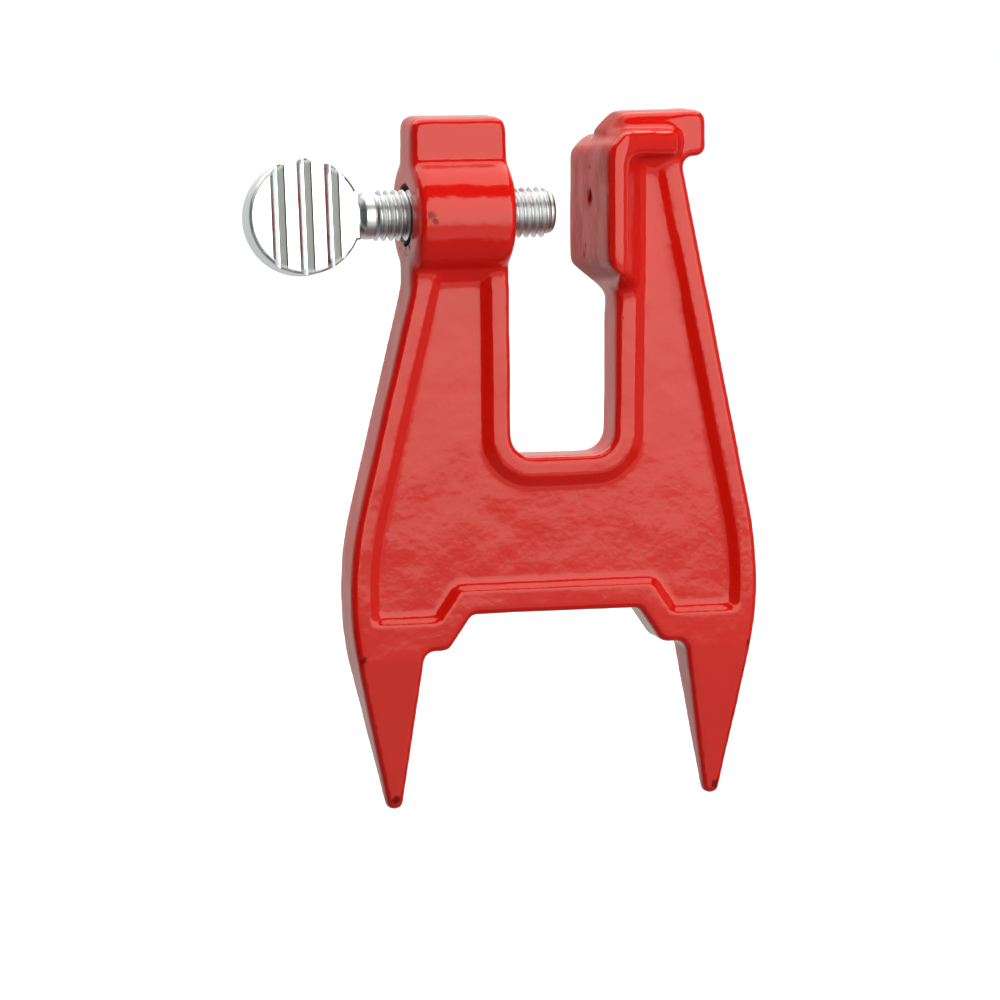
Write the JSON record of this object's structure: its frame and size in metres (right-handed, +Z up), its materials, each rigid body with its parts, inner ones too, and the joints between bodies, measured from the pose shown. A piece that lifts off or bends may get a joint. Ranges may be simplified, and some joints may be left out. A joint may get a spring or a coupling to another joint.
{
  "type": "stump vise",
  "caption": "Cast stump vise: two driven spikes, a deep throat slot, a broad fixed jaw and an M10 thumb screw that clamps a guide bar.",
  "frame": {"origin": "middle of the arch, level with the two shoulders that meet the stump, on the casting's mid-plane", "axes": "+X from the thumb screw towards the fixed jaw, +Z up away from the spikes, +Y towards the back face"},
  "size_m": [0.1015, 0.0286, 0.1347],
  "materials": {
    "red_paint": "gloss enamel over a rough iron casting",
    "zinc_plate": "bright zinc plate"
  },
  "bodies": {
    "frame": {"vise_frame": "red_paint"},
    "point": {"screw_tip": "zinc_plate"},
    "screw": {"thumb_screw": "zinc_plate"}
  },
  "joints": [
    {"name": "screw_feed", "type": "slide", "parent": "frame", "child": "point", "axis": [1, 0, 0], "range_m": [-0.01, 0.00745]},
    {"name": "screw_turn", "type": "hinge", "parent": "point", "child": "screw", "pos_m": [-0.0005, 0, 0.0843], "axis": [1, 0, 0], "range_deg": [-2400, 1788]}
  ],
  "couplings": [
    {"joint": "screw_turn", "follows": "screw_feed", "rad_per_m": 4188.8}
  ]
}
